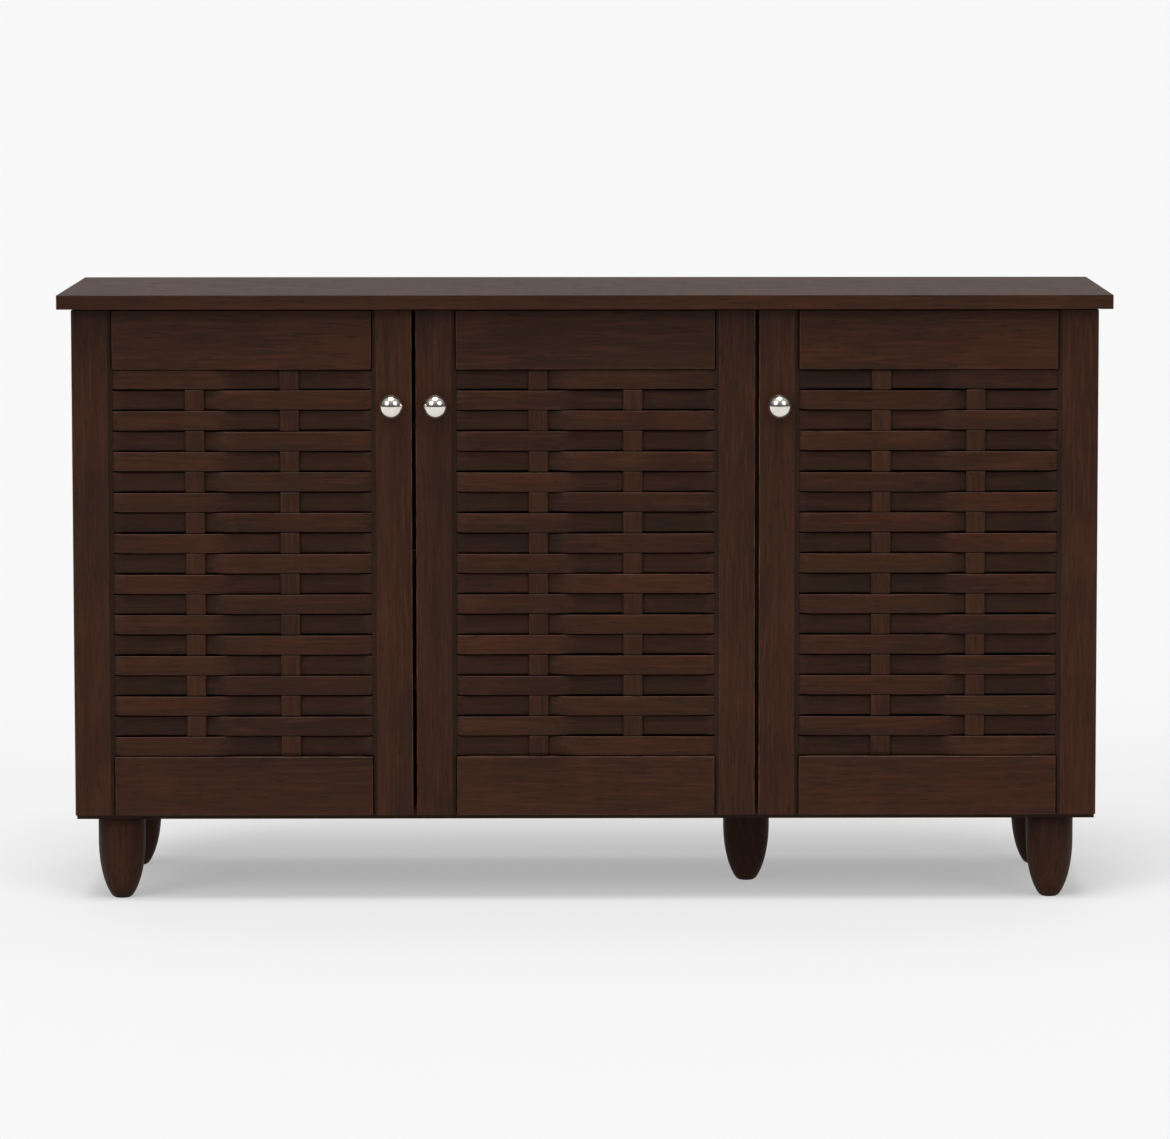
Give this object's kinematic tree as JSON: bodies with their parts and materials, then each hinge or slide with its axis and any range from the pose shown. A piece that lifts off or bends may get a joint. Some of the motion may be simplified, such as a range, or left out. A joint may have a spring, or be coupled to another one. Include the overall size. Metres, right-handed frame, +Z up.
{
  "type": "shoe cabinet",
  "caption": "Low shoe cabinet with woven-slat hinged doors in frames, round knobs, an overhanging top, inner shelves and tapered round legs.",
  "frame": {"origin": "on the floor, under the middle of the whole object's box (knobs included)", "axes": "+Z up, doors face -Y, +X to the right of someone facing the doors"},
  "size_m": [1.2, 0.36, 0.7],
  "materials": {
    "top_wood": "satin, dark stained",
    "stained_wood": "satin, dark stained",
    "board_wood": "satin, dark stained",
    "back_board": "matt, dark printed board",
    "door_wood": "satin, dark stained",
    "slat_wood": "satin, dark stained",
    "leg_wood": "satin, dark stained",
    "dowel_wood": "bare beech",
    "knob_chrome": "polished",
    "fitting_steel": "zinc plated",
    "cam_zinc": "die-cast zinc, matt",
    "catch_plastic": "dark brown, moulded"
  },
  "bodies": {
    "carcass": {"top_panel": "top_wood", "left_side_panel": "stained_wood", "right_side_panel": "stained_wood", "partition": "board_wood", "bottom_panel": "board_wood", "back_panel": "back_board", "left_shelf_low": "board_wood", "left_shelf_middle": "board_wood", "left_shelf_high": "board_wood", "right_shelf_low": "board_wood", "right_shelf_middle": "board_wood", "right_shelf_high": "board_wood", "shelf_pins": "fitting_steel", "panel_dowels": "dowel_wood", "cam_bolts": "fitting_steel", "cam_locks": "cam_zinc", "back_nails": "fitting_steel", "front_left_leg": "leg_wood", "front_right_leg": "leg_wood", "rear_left_leg": "leg_wood", "rear_right_leg": "leg_wood", "centre_leg": "leg_wood", "leg_bolts": "fitting_steel", "hinge_plates": "fitting_steel", "hinge_arms": "fitting_steel", "hinge_screws": "fitting_steel", "magnetic_catches": "catch_plastic"},
    "left_door": {"left_door_hinge_stile": "door_wood", "left_door_knob_stile": "door_wood", "left_door_top_rail": "door_wood", "left_door_bottom_rail": "door_wood", "left_door_cross_slats": "slat_wood", "left_door_upright_slats": "slat_wood", "left_door_knob": "knob_chrome", "left_door_knob_screw": "fitting_steel", "left_door_hinge_cups": "fitting_steel", "left_door_hinge_pins": "fitting_steel", "left_door_strike_plate": "fitting_steel"},
    "middle_door": {"middle_door_hinge_stile": "door_wood", "middle_door_knob_stile": "door_wood", "middle_door_top_rail": "door_wood", "middle_door_bottom_rail": "door_wood", "middle_door_cross_slats": "slat_wood", "middle_door_upright_slats": "slat_wood", "middle_door_knob": "knob_chrome", "middle_door_knob_screw": "fitting_steel", "middle_door_hinge_cups": "fitting_steel", "middle_door_hinge_pins": "fitting_steel", "middle_door_strike_plate": "fitting_steel"},
    "right_door": {"right_door_hinge_stile": "door_wood", "right_door_knob_stile": "door_wood", "right_door_top_rail": "door_wood", "right_door_bottom_rail": "door_wood", "right_door_cross_slats": "slat_wood", "right_door_upright_slats": "slat_wood", "right_door_knob": "knob_chrome", "right_door_knob_screw": "fitting_steel", "right_door_hinge_cups": "fitting_steel", "right_door_hinge_pins": "fitting_steel", "right_door_strike_plate": "fitting_steel"}
  },
  "joints": [
    {"name": "left_door_hinge", "type": "hinge", "parent": "carcass", "child": "left_door", "pos_m": [-0.5795, -0.1477, 0.391], "axis": [0, 0, -1], "range_deg": [0, 95]},
    {"name": "middle_door_hinge", "type": "hinge", "parent": "carcass", "child": "middle_door", "pos_m": [0.188, -0.1477, 0.391], "axis": [0, 0, 1], "range_deg": [0, 95]},
    {"name": "right_door_hinge", "type": "hinge", "parent": "carcass", "child": "right_door", "pos_m": [0.5795, -0.1477, 0.391], "axis": [0, 0, 1], "range_deg": [0, 95]}
  ]
}
